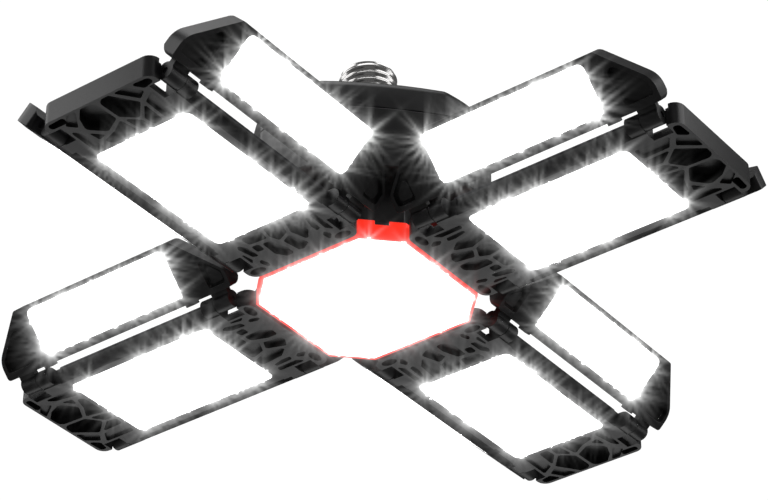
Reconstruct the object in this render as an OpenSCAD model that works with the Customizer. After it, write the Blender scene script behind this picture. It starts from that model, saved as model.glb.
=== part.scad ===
// Deformable garage light: a red-rimmed centre light under a driver housing with a screw base,
// four arms that fold down from the hub, and two tilting wings on every arm.
// The lit plane of the open arms is z = 0 and the screw base's axis is the z axis.
// The arms point along +x, +y, -x and -y.

/* [Centre light] */
// Width of the centre light across two opposite straight edges
centre_w = 78.6; // [76:0.2:80]
// Length of each straight edge that faces an arm
centre_edge = 50.2; // [46:0.2:54]
// Height of the red bezel
bezel_h = 9.1; // [8.6:0.1:9.6]
// Wall of the red bezel
bezel_wall = 1.2; // [1:0.1:1.6]
// Width of the notch in the bezel's top edge at each corner wall
bezel_notch_w = 6; // [4:0.5:8]
// Depth of that notch
bezel_notch_d = 2; // [1:0.5:2.5]

/* [Arms] */
// Gap between the centre light and the wings' inner ends
arm_gap = 4.1; // [3.9:0.1:5]
// How far an arm's root block stands past the wings' inner ends
root_lip = 2.8; // [2:0.1:2.9]
// Length of a wing, and of an arm without its outer lip
arm_len = 126.6; // [122:0.2:132]
// Width of an arm at its end blocks
arm_w = 56; // [55:0.2:57]
// Length of an arm's lit panel
lit_len = 76.6; // [72:0.2:78]
// Width of an arm's lit panel
lit_w = 48.1; // [46:0.1:48.6]
// Width of a side rail beside the lit panel
rail_w = 3.45; // [3.2:0.05:3.7]
// Height of the rails and of the end blocks' bodies
rail_h = 8; // [7.6:0.1:8.4]
// Height of the outer end wall
end_wall_h = 10; // [9:0.1:11]
// Thickness of the outer end wall
end_wall_t = 4.6; // [4:0.1:5]
// How far an arm's outer end stands past the ends of its wings
end_lip = 1.8; // [0:0.1:2.5]
// Radius of the end blocks' upright corners
block_r = 4.5; // [3:0.5:5]
// Radius of the lit panels' corners
lit_r = 3; // [2:0.5:3.5]

/* [Wings] */
// Tilt of the wings above flat, as the lamp is drawn
wing_tilt = 45; // [30:1:60]
// Thickness of a wing
wing_t = 8.5; // [8.2:0.1:9]
// Reach of a wing from its hinge axis to its free edge
wing_reach = 33; // [32:0.1:34]
// Distance from the hinge axis to the wing's near edge
wing_near = 5.3; // [5.1:0.1:5.6]
// Rail between the wing's near edge and its lit panel
wing_rail = 3.7; // [3.5:0.1:4]
// Rim between the lit panel and the free edge
wing_rim = 1.9; // [1.7:0.1:2.2]
// Length of a wing's lit panel
wing_lit_len = 77.8; // [74:0.2:79]
// Length that each mitre takes off the outer end of the free edge
wing_mitre = 18.5; // [17:0.5:19]
// Radius where a mitre meets the wing's end
mitre_r = 10; // [6:0.5:10]
// Gap between two neighbouring wings that lie flat
mitre_gap = 0.8; // [0.6:0.1:1.4]

/* [Wing hinges] */
// Distance of the hinge axis from the arm's centre line
hinge_y = 29.8; // [29.6:0.1:30.2]
// Height of the hinge axis above the lit plane
hinge_z = 4.4; // [4.2:0.1:4.6]
// Radius of the hinge knuckles
knuckle_r = 3.9; // [3.6:0.1:4]
// Length of a wing's knuckle
knuckle_len = 8.4; // [8:0.1:8.8]
// Distance from a wing's end to its knuckle
knuckle_end = 4.4; // [4:0.1:5]
// Length of the arm's knuckle
arm_knuckle = 6.5; // [6:0.1:7]
// Gap between two knuckles
knuckle_gap = 0.3; // [0.2:0.05:0.4]
// Diameter of the wing hinge pins
wing_pin_d = 2.5; // [2.2:0.1:2.8]

/* [Arm hinges] */
// Distance of the fold axis from the wings' inner ends
fold_x = 5.6; // [5.4:0.1:6]
// Height of the fold axis above the lit plane
fold_z = 4.2; // [4.1:0.1:4.4]
// Radius of the hub's hinge ears
ear_r = 3.2; // [3:0.1:3.3]
// Thickness of a hinge ear
ear_t = 4; // [3.4:0.1:4.4]
// Distance from the arm's centre line to the middle of an ear
ear_y = 12; // [11.8:0.1:12.2]
// Diameter of the fold pin
fold_pin_d = 2.6; // [2.2:0.1:2.8]
// Length of the fold pin
fold_pin_len = 44; // [40:1:46]
// Gap between a hinge ear and its slot
ear_gap = 0.3; // [0.2:0.05:0.4]

/* [Hub] */
// Height of the driver housing's underside above the lit plane
housing_z = 33; // [32:0.5:36]
// Height of the driver housing
housing_h = 45; // [42:0.5:48]
// Height of the housing's upper shell
cap_h = 15; // [13:0.5:17]
// Width of the housing across two faces that look along the arms
housing_w = 109; // [106:1:112]
// Width of the housing across two diagonal faces
housing_diag = 99; // [97:1:103]
// How far each face of the housing bulges
housing_bulge = 1.6; // [0.2:0.2:3]
// Radius of the housing's upright corners
housing_r = 6; // [4:0.5:8]
// Wall of the housing
housing_wall = 2; // [1.6:0.1:2.4]
// Width of the hub's core under the housing, across its flat faces
core_w = 70; // [68:0.5:72]
// Wall of the core
core_wall = 2.2; // [2:0.1:2.6]
// Height of the collar between the housing and the screw base
collar_h = 18.2; // [16:0.1:20]
// Radius of the collar where it meets the housing
collar_r = 24; // [22:0.5:26]

/* [Screw base] */
// Outer diameter of the screw shell's thread
thread_d = 26.2; // [25.8:0.1:26.6]
// Pitch of the thread
thread_pitch = 3.63; // [3.5:0.01:3.8]
// Depth of the thread
thread_depth = 1; // [0.8:0.1:1.2]
// Turns of the thread
thread_turns = 6; // [5:1:7]
// Thickness of the screw shell
shell_t = 0.4; // [0.3:0.05:0.6]
// Height of the insulator above the thread
insulator_h = 3.4; // [3:0.1:4]
// Diameter of the centre contact
contact_d = 9.5; // [8:0.5:11]
// Height of the centre contact
contact_h = 1.6; // [1:0.1:2]

/* [Light modules] */
// Thickness of a lens's lit face
lens_t = 1.6; // [1.2:0.1:2]
// Depth from a lens's face to its light board
lens_depth = 4.2; // [4:0.1:4.4]
// Thickness of a light board
board_t = 1; // [0.8:0.1:1.2]
// Side of a square light chip
chip_w = 2.8; // [2:0.1:3.2]
// Height of a light chip
chip_h = 0.7; // [0.5:0.1:1]
// Gap round each lens
lens_gap = 0.15; // [0.1:0.05:0.2]
// Thickness of the arm's heat sink plate
sink_t = 1.6; // [1.4:0.1:2]
// Thickness of a heat sink fin
fin_t = 1.2; // [1:0.1:1.6]
// Height of a heat sink fin
fin_h = 2.4; // [2:0.1:3]
// Number of fins across a heat sink
fin_count = 9; // [5:2:11]

/* [Ribs] */
// Depth of the cells between the ribs in the middle of the outer end block
cell_d = 4.6; // [3:0.1:5]
// Depth of the cells in the middle of the root block
leaf_d = 1.8; // [1.2:0.1:2]
// Depth of the shallow cells near the hinges
shallow_d = 1.2; // [0.8:0.1:1.3]
// Thickness of the plate under an end block's open corners
corner_plate = 3; // [2.6:0.1:3.4]

/* [Hidden] */
HUB_PARTS = [
    "screw_shell", "centre_contact", "shell_insulator", "neck_collar", "housing_cap", "housing_base",
    "housing_screws", "driver_board", "driver_components", "hub_core", "centre_heat_sink",
    "centre_led_board", "centre_lens", "red_bezel"
];
ARM_PARTS = ["frame", "heat_sink", "led_board", "lens", "hinge_pins"];
WING_PARTS = ["frame", "led_board", "lens"];

$fn = 48;
eps = 0.01;
arc_steps = 6;
run_fit = 0.05;
snug_fit = 0.02;

// Colours, as the lamp shows them
black_plastic = [0.09, 0.09, 0.10];
black_metal = [0.14, 0.14, 0.15];
red_plastic = [0.92, 0.13, 0.08];
lit_white = [0.98, 0.98, 0.96];
board_white = [0.86, 0.88, 0.86];
board_green = [0.10, 0.36, 0.22];
chrome = [0.80, 0.80, 0.82];
brass = [0.78, 0.62, 0.28];
steel = [0.62, 0.63, 0.65];

// Places along an arm, counted from its middle
arm_in = centre_w / 2 + arm_gap;
arm_mid = arm_in + arm_len / 2;
half_len = arm_len / 2;
half_lit = lit_len / 2;
fold_u = fold_x - half_len;
arm_end = half_len + end_lip;
arm_root = half_len + root_lip;
wing_knuckle_u = half_len - knuckle_end - knuckle_len;
arm_knuckle_u = wing_knuckle_u - knuckle_gap - arm_knuckle;
window_u = wing_knuckle_u - knuckle_gap;
window_end = wing_knuckle_u + knuckle_len + knuckle_gap;

end_len = arm_end - half_lit;

// The cells' corners are drawn on blocks of these lengths and widths, and are stretched to the real ones
drawn_end = [26.8, 56];
drawn_root = [27.8, 56];
cell_rim = 1.1;
cell_lit = drawn_end.x - 1.8;
cell_side = drawn_end.y / 2 - 6.8;
root_lit = drawn_root.x - 1.8;

window_y = arm_w / 2 - 5.6;
corner_pocket_y = arm_w / 2 - 10.5;
root_len = arm_root - half_lit;
wing_pin_u = arm_knuckle_u + 0.6;
wing_pin_len = arm_knuckle + knuckle_gap + knuckle_len - 1.2;
latch_x = half_lit * 0.7;
latch_w = 3.8;
light_notch_w = 2.6;
ear_slot_z = fold_z - ear_r - ear_gap;

// Sizes of the light modules
lens_lip = 1.2;
lip_t = lens_t - 0.4;
board_z = lens_depth;
sink_bed = board_z + board_t;
ledge_len = 5.5;
stake_d = 3;
stake_head_d = 5;
stake_head_h = 1;
stake_x = half_lit + 3;
stake_y = lit_w / 2 - 4;

// Places across a wing, counted from its hinge axis
wing_lit_near = wing_near + wing_rail;
wing_lit_far = wing_reach - wing_rim;
wing_lit_w = wing_lit_far - wing_lit_near;
wing_pocket_z = board_z + board_t;
wing_end_u = half_lit + 9;

// Hub heights
seam_z = housing_z + housing_h - cap_h;
housing_top = housing_z + housing_h;
collar_top = housing_top + collar_h;
thread_r = thread_d / 2;
thread_len = thread_turns * thread_pitch;
shell_top = collar_top + thread_len;
collar_neck_r = thread_r + 2;
socket_r = thread_r - thread_depth;
shoulder_r = socket_r - 1.2;
shell_seat = 5;
shell_curl = 0.8;
core_diag = core_w * 1.12;
bracket_t = 2;
bracket_a = centre_w / 2 - 1.5;
bracket_d = core_diag / 2 + 2;
screw_d = 3;
screw_head_d = 5.6;
screw_head_h = 1.8;
screw_x = housing_diag / 2 - 8;
screw_len = seam_z - housing_z + 8;
post_x = 30;
post_h = 7;
driver_z = housing_z + housing_wall + post_h;
driver_t = 1.6;
driver_r = 35;
core_block = [22, 18, 13];
core_block_y = -27;
bobbin = [14, 22, 7];
can_d = 10;
can_h = 17;
can_y = 16;
can_x = [-16, -4];
choke_x = 13;
choke_d = 14;
choke_hole = 6;
choke_h = 7;
bridge = [9, 12, 4];
bridge_x = 16;
ear_arm_z = fold_z + 9.2;
stem_share = 0.75;
ear_arm_t = 5;
core_floor = bezel_h + 0.3;

function unit(v) = v / norm(v);

// Points of the arc of radius r that rounds corner b between its neighbours a and c
function round_corner(a, b, c, r) =
    let (
        p = unit(a - b),
        q = unit(c - b),
        half = acos(p * q) / 2,
        centre = b + unit(p + q) * r / sin(half),
        from = b + p * r / tan(half) - centre,
        to = b + q * r / tan(half) - centre,
        start = atan2(from.y, from.x),
        sweep = (atan2(to.y, to.x) - start + 540) % 360 - 180
    )
    r <= 0 ? [b] : [for (i = [0:arc_steps]) centre + r * [cos(start + sweep * i / arc_steps),
                                                          sin(start + sweep * i / arc_steps)]];

// A polygon's points with each corner rounded by its own radius
function rounded(points, radii) = [
    for (i = [0:len(points) - 1])
        each round_corner(points[(i + len(points) - 1) % len(points)], points[i],
                          points[(i + 1) % len(points)], radii[i])
];

// Points between a and b on a side that bulges to its right by up to sag
function bulged_side(a, b, sag) = [
    for (i = [1:arc_steps - 1])
        let (t = i / arc_steps, out = unit([b.y - a.y, a.x - b.x]))
        a + (b - a) * t + out * 4 * sag * t * (1 - t)
];

// A polygon's points with rounded corners and bulged sides
function bulged(points, radius, sag) =
    let (
        n = len(points),
        arcs = [for (i = [0:n - 1])
            round_corner(points[(i + n - 1) % n], points[i], points[(i + 1) % n], radius)]
    )
    [for (i = [0:n - 1]) each concat(arcs[i], bulged_side(arcs[i][arc_steps], arcs[(i + 1) % n][0], sag))];

// Corners of a rectangle from a to b, anticlockwise
function rect(a, b) = [a, [b.x, a.y], b, [a.x, b.y]];

// Corners of an octagon with its straight edges at distance a, each 2 b long
function octagon(a, b) = [[a, -b], [a, b], [b, a], [-b, a], [-a, b], [-a, -b], [-b, -a], [b, -a]];

// Points of an ellipse
function oval(centre, half_x, half_y, steps = 20) = [
    for (i = [0:steps - 1]) centre + [half_x * cos(i * 360 / steps), half_y * sin(i * 360 / steps)]
];

// Half edge of an octagon whose diagonal faces lie at distance d and straight ones at distance a
function half_edge(a, d) = d * sqrt(2) - a;

module mirrored_x() {
    children();
    mirror([1, 0, 0]) children();
}

module mirrored_y() {
    children();
    mirror([0, 1, 0]) children();
}

module rounded_plate(points, radius, height) {
    linear_extrude(height) polygon(rounded(points, [for (p = points) radius]));
}

module box(low, high) {
    translate(low) cube(high - low);
}

// Puts an arm, drawn round its own middle with its outer end at +x, in its place
module place_arm(k) {
    rotate([0, 0, 90 * k]) translate([arm_mid, 0, 0]) children();
}

// Puts a wing, drawn flat with its hinge axis along x at y = 0, on the left or right of its arm
module place_wing(k, left) {
    place_arm(k) mirror([0, left ? 0 : 1, 0]) translate([0, hinge_y, hinge_z])
        rotate([wing_tilt, 0, 0]) translate([0, 0, -hinge_z]) children();
}

// ---- Hub ----

// One turn of the thread's side, from its root up and over the crest
function thread_turn(i, r) = [
    for (j = [0:7])
        [r - thread_depth * (1 + cos(j * 45)) / 2, collar_top + thread_pitch * (i + j / 8)]
];

module screw_shell() {
    outer = [for (i = [0:thread_turns - 1]) each thread_turn(i, thread_r)];
    inner = [for (i = [len(outer) - 1:-1:0]) outer[i] - [shell_t, 0]];
    color(chrome) rotate_extrude($fn = 96) polygon(concat(
        [[socket_r, collar_top - shell_seat]],
        outer,
        [[socket_r, shell_top], [shoulder_r, shell_top + shell_curl],
         [shoulder_r - shell_t, shell_top + shell_curl - shell_t],
         [socket_r - shell_t, shell_top - shell_t]],
        [for (p = inner) p.y < shell_top - shell_t ? p : [p.x, shell_top - shell_t]],
        [[socket_r - shell_t, collar_top - shell_seat]]
    ));
}

module shell_insulator() {
    plug_r = shoulder_r - shell_t - snug_fit;
    color(black_plastic) rotate_extrude($fn = 96) polygon([
        [0, shell_top - 3], [plug_r, shell_top - 3], [plug_r, shell_top + 0.4],
        [contact_d / 2 + 0.4, shell_top + insulator_h], [0, shell_top + insulator_h]
    ]);
}

module centre_contact() {
    color(brass) translate([0, 0, shell_top + insulator_h]) rotate_extrude($fn = 64) polygon([
        [0, 0], [contact_d / 2, 0], [contact_d / 2, contact_h * 0.35],
        [contact_d * 0.34, contact_h * 0.8], [contact_d * 0.15, contact_h], [0, contact_h]
    ]);
}

// Collar that carries the screw shell on the housing
module neck_collar() {
    wall = 2;
    color(black_plastic) rotate_extrude($fn = 96) polygon([
        [collar_r - 7, housing_top], [collar_r, housing_top], [collar_r, housing_top + 2.5],
        [collar_r - 1.5, housing_top + 4.5], [collar_neck_r + 1, collar_top - shell_seat],
        [collar_neck_r, collar_top - 1], [collar_neck_r - 0.8, collar_top],
        [thread_r - 0.4, collar_top], [thread_r - 0.4, collar_top - 0.4],
        [socket_r + snug_fit, collar_top - 0.4], [socket_r + snug_fit, collar_top - shell_seat],
        [socket_r - wall, collar_top - shell_seat], [socket_r - wall, housing_top + 3],
        [collar_r - 7, housing_top + 3]
    ]);
}

// Outline of the housing, drawn in by a distance
module housing_outline(inset) {
    a = housing_w / 2 - inset;
    d = housing_diag / 2 - inset;
    polygon(bulged(octagon(a, half_edge(a, d)), max(housing_r - inset, 0.5), housing_bulge));
}

// Upright bosses that take the housing screws
module screw_boss(low, high) {
    for (q = [0:3]) rotate([0, 0, 45 + 90 * q]) translate([screw_x, 0, low]) cylinder(h = high - low, r = 4);
}

// A thin slice of the housing's outline, drawn in by a distance, at a height
module housing_slice(z, inset) {
    translate([0, 0, z]) linear_extrude(eps) housing_outline(inset);
}

// Holes for the housing screws, wider by a clearance
module screw_holes(clearance) {
    for (q = [0:3]) rotate([0, 0, 45 + 90 * q]) translate([screw_x, 0, housing_z - 1])
        cylinder(h = screw_len + 1 + clearance, r = screw_d / 2 + clearance);
}

module housing_cap() {
    shoulder = 4.5;
    color(black_plastic) difference() {
        union() {
            difference() {
                hull() {
                    translate([0, 0, seam_z]) linear_extrude(cap_h - shoulder) housing_outline(0);
                    housing_slice(housing_top - shoulder * 0.5, shoulder * 0.14);
                    housing_slice(housing_top - shoulder * 0.14, shoulder * 0.5);
                    housing_slice(housing_top - eps, shoulder);
                }
                hull() {
                    translate([0, 0, seam_z - eps]) linear_extrude(cap_h - shoulder)
                        housing_outline(housing_wall);
                    housing_slice(housing_top - housing_wall - eps, shoulder + housing_wall);
                }
            }
            screw_boss(seam_z, housing_top - housing_wall);
        }
        translate([0, 0, seam_z]) cylinder(h = cap_h + 1, r = collar_r - 7);
        screw_holes(snug_fit);
    }
}

module housing_base() {
    lip_h = 1.6;
    lip_wall = 1.4;
    color(black_plastic) difference() {
        union() {
            difference() {
                translate([0, 0, housing_z]) linear_extrude(seam_z - housing_z) housing_outline(0);
                translate([0, 0, housing_z + housing_wall]) linear_extrude(housing_h)
                    housing_outline(housing_wall);
            }
            translate([0, 0, seam_z - 4]) linear_extrude(4 + lip_h) difference() {
                housing_outline(housing_wall + 0.15);
                housing_outline(housing_wall + lip_wall);
            }
            translate([0, 0, seam_z - 4]) linear_extrude(4) difference() {
                housing_outline(housing_wall - 0.3);
                housing_outline(housing_wall + lip_wall);
            }
            screw_boss(housing_z, seam_z);
            for (q = [0:3]) rotate([0, 0, 90 * q]) translate([post_x, 0, housing_z]) {
                cylinder(h = driver_z - housing_z, r = 3);
                cylinder(h = driver_z - housing_z + 1.2, d = 2.4);
            }
        }
        translate([0, 0, housing_z - 1]) cylinder(h = housing_wall + 2, r = 8);
        screw_holes(0.2);
        for (q = [0:3]) rotate([0, 0, 45 + 90 * q]) translate([screw_x, 0, housing_z - 1])
            cylinder(h = screw_head_h + 1, d = screw_head_d + 0.4);
    }
}

// Screws that hold the two housing shells together, one at each diagonal face
module housing_screws() {
    color(steel) for (q = [0:3]) rotate([0, 0, 45 + 90 * q]) translate([screw_x, 0, housing_z]) {
        difference() {
            cylinder(h = screw_head_h, d = screw_head_d);
            for (turn = [0, 90]) rotate([0, 0, turn])
                box([-screw_head_d * 0.32, -0.35, -eps], [screw_head_d * 0.32, 0.35, screw_head_h / 2]);
        }
        translate([0, 0, screw_head_h]) cylinder(h = screw_len - screw_head_h, d = screw_d);
    }
}

module driver_board() {
    color(board_green) translate([0, 0, driver_z]) difference() {
        cylinder(h = driver_t, r = driver_r);
        translate([0, 0, -1]) cylinder(h = driver_t + 2, r = 5);
        for (q = [0:3]) rotate([0, 0, 90 * q]) translate([post_x, 0, -1])
            cylinder(h = driver_t + 2, d = 2.6);
    }
}

// Transformer, capacitors, choke and bridge of the driver
module driver_components() {
    color([0.24, 0.20, 0.16]) translate([0, 0, driver_z + driver_t]) {
        translate([-core_block.x / 2 - 1, core_block_y, 0]) cube(core_block);
        translate([-bobbin.x / 2 - 1, core_block_y + (core_block.y - bobbin.y) / 2,
                   (core_block.z - bobbin.z) / 2])
            cube(bobbin);
        for (x = can_x) translate([x, can_y, 0]) cylinder(h = can_h, d = can_d);
        translate([choke_x, can_y, 0]) difference() {
            cylinder(h = choke_h, d = choke_d);
            translate([0, 0, 1]) cylinder(h = choke_h, d = choke_hole);
        }
        translate([bridge_x, -bridge.y / 2, 0]) cube(bridge);
    }
}

// Side view of a hinge ear in the arm's own coordinates, with its arm back to the core
module ear_side() {
    root_u = core_w / 2 - core_wall - arm_mid;
    stem = ear_r * stem_share;
    translate([fold_u, fold_z]) circle(r = ear_r);
    polygon([
        [root_u, ear_arm_z], [fold_u - stem, ear_arm_z], [fold_u - stem, fold_z], [fold_u + stem, fold_z],
        [fold_u + stem, ear_arm_z + 1], [fold_u, ear_arm_z + ear_arm_t], [root_u, ear_arm_z + 2 * ear_arm_t]
    ]);
}

module core_outline(inset) {
    a = core_w / 2 - inset;
    d = core_diag / 2 - inset;
    polygon(octagon(a, half_edge(a, d)));
}

// Hollow column between the housing and the centre light, with two hinge ears for each arm
module hub_core() {
    color(black_plastic) difference() {
        union() {
            difference() {
                union() {
                    translate([0, 0, core_floor]) linear_extrude(housing_z - core_floor) core_outline(0);
                    translate([0, 0, core_floor]) linear_extrude(bracket_t)
                        polygon(octagon(bracket_a, half_edge(bracket_a, bracket_d)));
                }
                translate([0, 0, core_floor + bracket_t]) linear_extrude(housing_z) core_outline(core_wall);
                translate([0, 0, core_floor - 1]) cylinder(h = bracket_t + 2, r = 8);
            }
            translate([0, 0, housing_z - core_wall]) linear_extrude(core_wall) difference() {
                core_outline(core_wall / 2);
                circle(r = 8);
            }
            for (k = [0:3]) place_arm(k) mirrored_y()
                translate([0, ear_y + ear_t / 2, 0]) rotate([90, 0, 0]) linear_extrude(ear_t) ear_side();
        }
        for (k = [0:3]) place_arm(k) mirrored_y() translate([fold_u, ear_y + ear_t, fold_z])
            rotate([90, 0, 0]) cylinder(h = 2 * ear_t, r = fold_pin_d / 2 + run_fit);
    }
}

// ---- Centre light ----

centre_a = centre_w / 2;
centre_b = centre_edge / 2;

// Outline of the centre light, drawn in by a distance
module centre_outline(inset) {
    a = centre_a - inset;
    d = (centre_a + centre_b) / sqrt(2) - inset;
    polygon(octagon(a, half_edge(a, d)));
}

module red_bezel() {
    lip = 0.9;
    wall_d = (centre_a + centre_b) / sqrt(2);
    color(red_plastic) difference() {
        linear_extrude(bezel_h) centre_outline(0);
        translate([0, 0, -1]) linear_extrude(bezel_h) centre_outline(bezel_wall);
        translate([0, 0, lip_t]) linear_extrude(bezel_h) centre_outline(bezel_wall - lip / 3);
        for (q = [0:3]) rotate([0, 0, 45 + 90 * q])
            box([wall_d - 3 * bezel_wall, -bezel_notch_w / 2, bezel_h - bezel_notch_d],
                [wall_d + 1, bezel_notch_w / 2, bezel_h + 1]);
    }
}

module centre_lens() {
    color(lit_white) {
        linear_extrude(lens_t) centre_outline(bezel_wall + lens_gap);
        linear_extrude(board_z) difference() {
            centre_outline(bezel_wall + lens_gap);
            centre_outline(bezel_wall + lens_gap + 1);
        }
    }
}

module chips(columns, rows, span_x, span_y) {
    for (i = [0:columns - 1], j = [0:rows - 1])
        translate([span_x * ((i + 0.5) / columns - 0.5) - chip_w / 2,
                   span_y * ((j + 0.5) / rows - 0.5) - chip_w / 2, board_z - chip_h])
            cube([chip_w, chip_w, chip_h]);
}

module centre_led_board() {
    color(board_white) {
        translate([0, 0, board_z]) linear_extrude(board_t) centre_outline(bezel_wall + lens_gap);
        chips(5, 5, centre_edge, centre_edge);
    }
}

module centre_heat_sink() {
    color(steel) difference() {
        translate([0, 0, sink_bed]) linear_extrude(core_floor - sink_bed)
            centre_outline(bezel_wall + lens_gap);
        translate([0, 0, sink_bed - 1]) cylinder(h = bezel_h, r = 8);
        for (q = [0:3]) rotate([0, 0, 45 + 90 * q])
            box([core_diag / 2 + 1, -bezel_notch_w / 2, bezel_h - bezel_notch_d],
                [centre_w, bezel_notch_w / 2, bezel_h + 1]);
    }
}

// ---- Arms ----

// Outline of a lit panel grown by a distance
module lit_outline(length, width, grow) {
    half = [length / 2 + grow, width / 2 + grow];
    points = rect(-half, half);
    polygon(rounded(points, [for (p = points) max(lit_r + grow, 0.3)]));
}

// A cell between ribs, as corners [distance from the block's end, distance to the left, corner radius]
module cell(corners) {
    polygon(rounded([for (c = corners) [c.x, c.y]], [for (c = corners) c.z]));
}

// Deep cells under the middle of the outer end block, and the loops at its corners
module end_cells() {
    cell([[cell_rim, 1.4, 3.2], [13.8, 0.9, 1.2], [18.2, 8.6, 2], [12.2, 15.2, 2.6], [5.6, 12.6, 3],
          [cell_rim, 8.4, 0.8]]);
    cell([[19.2, 11, 0.6], [20.2, 15, 0.8], [14.4, 15.8, 0.4]]);
    cell([[cell_rim, -6.1, 0.8], [11.4, -13.4, 1.2], [18.8, -6.8, 1.6], [13.6, -0.6, 1.6],
          [cell_rim, -0.1, 3.2]]);
    cell([[15.4, 0.5, 0.8], [cell_lit, -1.2, 1.5], [cell_lit, 12.4, 2.5], [21.8, 13.8, 1.2], [19.4, 6.6, 3]]);
    cell([[15.5, -1, 0.8], [20.4, -6.7, 0.8], [cell_lit, -7, 1.5], [cell_lit, -2.6, 1.5]]);
    cell([[13.2, -13.6, 0.6], [20, -8.1, 0.8], [cell_lit, -8.5, 1.5], [cell_lit, -13.2, 1.5]]);
    cell([[cell_rim, -16.6, 1], [5.8, -20.4, 1.4], [4.6, -26, 1.6], [cell_rim + 0.5, -25.4, 1.6]]);
    cell([[cell_rim, 16.8, 1.2], [4.8, 18, 2], [4.6, 26, 1.4], [cell_rim + 0.5, 25.4, 1.4]]);
}

// Shallow cells beside the wing hinges under the outer end block
module end_corner_cells() {
    cell([[cell_rim, -8.3, 0.6], [9.8, -14.9, 0.8], [7, -19.1, 1], [cell_rim, -14.8, 1]]);
    cell([[cell_rim, 10.8, 0.5], [9.6, 16.6, 0.8], [6, 20, 0.8], [cell_rim, 15.2, 1]]);
    cell([[13.4, 18.2, 1], [cell_lit, 16.2, 1.5], [cell_lit, cell_side, 1], [8.6, cell_side, 0.8]]);
    cell([[12.4, -15.2, 1], [cell_lit, -14.8, 1.5], [cell_lit, -cell_side, 1], [8.6, -cell_side, 0.8]]);
}

// Cells under the middle of the root block, and the loops at its corners
module root_cells() {
    cell([[5.4, 2.3, 1.3], [10.2, 2.3, 3], [17.6, 5, 1.2], [18.4, 9, 1.2], [9.4, 9.2, 2.2], [5.2, 6, 1.6]]);
    cell([[5.8, -0.6, 0.9], [5.5, -3, 1.1], [7.8, -7, 1.1], [16.8, -3.8, 1.2], [14.4, 0.8, 0.9]]);
    cell([[16, 1.6, 0.8], [18.6, -4.2, 1.2], [root_lit, -6.6, 1.5], [root_lit, 2.4, 1.5], [20, 3.4, 1.5]]);
    cell([[20, 4.9, 1.2], [root_lit, 3.9, 1.5], [root_lit, 14.6, 2], [20.6, 13.6, 1.5]]);
    cell([[9.6, -8.2, 0.9], [17.8, -5.6, 1.4], [root_lit, -8.4, 1.5], [root_lit, -13.2, 1.5], [14.6, -12.2, 1.2]]);
    cell([[14.4, 10.6, 1], [18.6, 10.4, 1.2], [19.2, 14, 1.2], [14.6, 14.2, 1]]);
    polygon(oval([3.7, 22.7], 2.1, 3.9));
    polygon(oval([3.7, -21.4], 2.1, 3.8));
}

// Shallow cells beside the hinge ears under the root block
module root_side_cells() {
    cell([[2.2, 16.6, 0.8], [5.8, 15.4, 0.8], [10.4, 16.8, 0.8], [7.6, 18.4, 0.8]]);
    cell([[12, 15.4, 0.7], [19.4, 15.8, 1], [23.2, 18.4, 0.8], [20.4, 19.6, 0.8], [13, 18, 0.8]]);
    cell([[8.8, cell_side, 0.5], [11.4, 19.4, 0.8], [21.4, cell_side, 0.5]]);
    cell([[3.6, -15.4, 0.7], [8.2, -14.8, 0.8], [10.4, -16.6, 0.8], [7.2, -18.2, 0.8]]);
    cell([[12, -14.8, 0.7], [16, -14.6, 1], [21.8, -16, 0.6], [21.4, -17.4, 0.6], [13, -17, 0.8]]);
    cell([[8.6, -cell_side, 0.5], [11.9, -18.6, 0.8], [22.6, -18.8, 1.2], [22.6, -cell_side, 0.8]]);
}

// Cuts cells, drawn in distance from the end of a block, into the block of a length that ends at x = end
module cells_from(end, drawn, length, depth) {
    translate([end, 0, -1]) linear_extrude(depth + 1) mirror([1, 0])
        scale([length / drawn.x, arm_w / drawn.y]) children();
}

// The knuckle that an arm gives to the wing hinge on its left, at the outer end
module arm_hinge_knuckle() {
    foot_y = hinge_y - knuckle_r - 3;
    translate([arm_knuckle_u, hinge_y, hinge_z]) rotate([90, 0, 90]) linear_extrude(arm_knuckle) {
        circle(r = knuckle_r);
        polygon([[foot_y - hinge_y, -hinge_z], [-1, -hinge_z + 0.5], [0, -knuckle_r], [0, knuckle_r],
                 [foot_y - hinge_y, knuckle_r]]);
    }
}

// Space that a wing's knuckle turns in, and the open corner above the plate
module hinge_room() {
    box([window_u, window_y, -1], [window_end, arm_w, end_wall_h + 1]);
    box([half_lit + ledge_len, corner_pocket_y, corner_plate], [window_end, arm_w, end_wall_h + 1]);
}

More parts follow.
